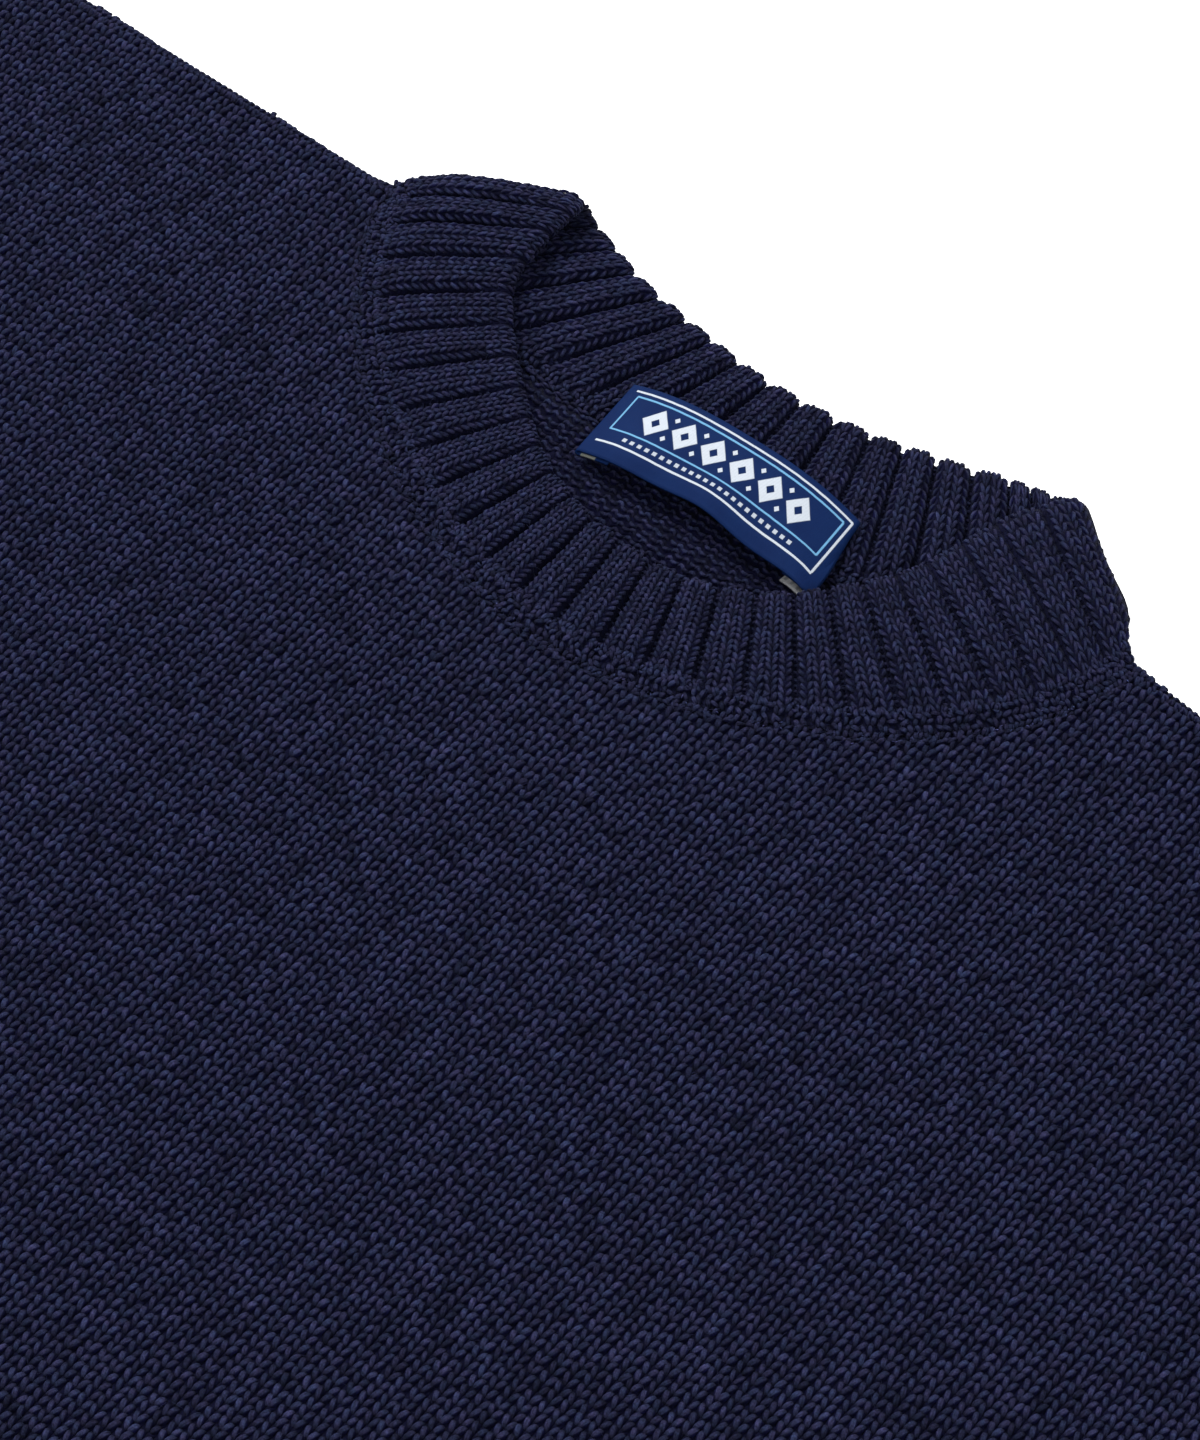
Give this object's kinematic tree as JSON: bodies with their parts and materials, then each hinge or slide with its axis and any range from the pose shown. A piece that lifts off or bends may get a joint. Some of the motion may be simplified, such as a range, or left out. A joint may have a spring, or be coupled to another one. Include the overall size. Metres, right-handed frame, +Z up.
{
  "type": "crewneck sweater",
  "caption": "Knitted wool crewneck sweater laid flat on its back, with square dropped shoulders, ribbed neckband, cuffs and hem, and a woven neck label.",
  "frame": {"origin": "centre of the garment's box, on the flat surface it lies on", "axes": "+X towards the wearer's left, along the shoulders; +Y from the hem to the neck; +Z up off the surface"},
  "size_m": [1.3324, 0.711, 0.0149],
  "materials": {
    "navy_wool": "matte worsted wool knit",
    "label_weave": "fine woven damask, slight sheen",
    "white_tape": "soft satin tape"
  },
  "bodies": {
    "root": {"back_body": "navy_wool", "front_body": "navy_wool", "right_sleeve": "navy_wool", "left_sleeve": "navy_wool", "right_cuff": "navy_wool", "left_cuff": "navy_wool", "back_hem_rib": "navy_wool", "front_hem_rib": "navy_wool", "neckband": "navy_wool", "neck_label": "label_weave", "size_label": "white_tape"}
  },
  "joints": []
}
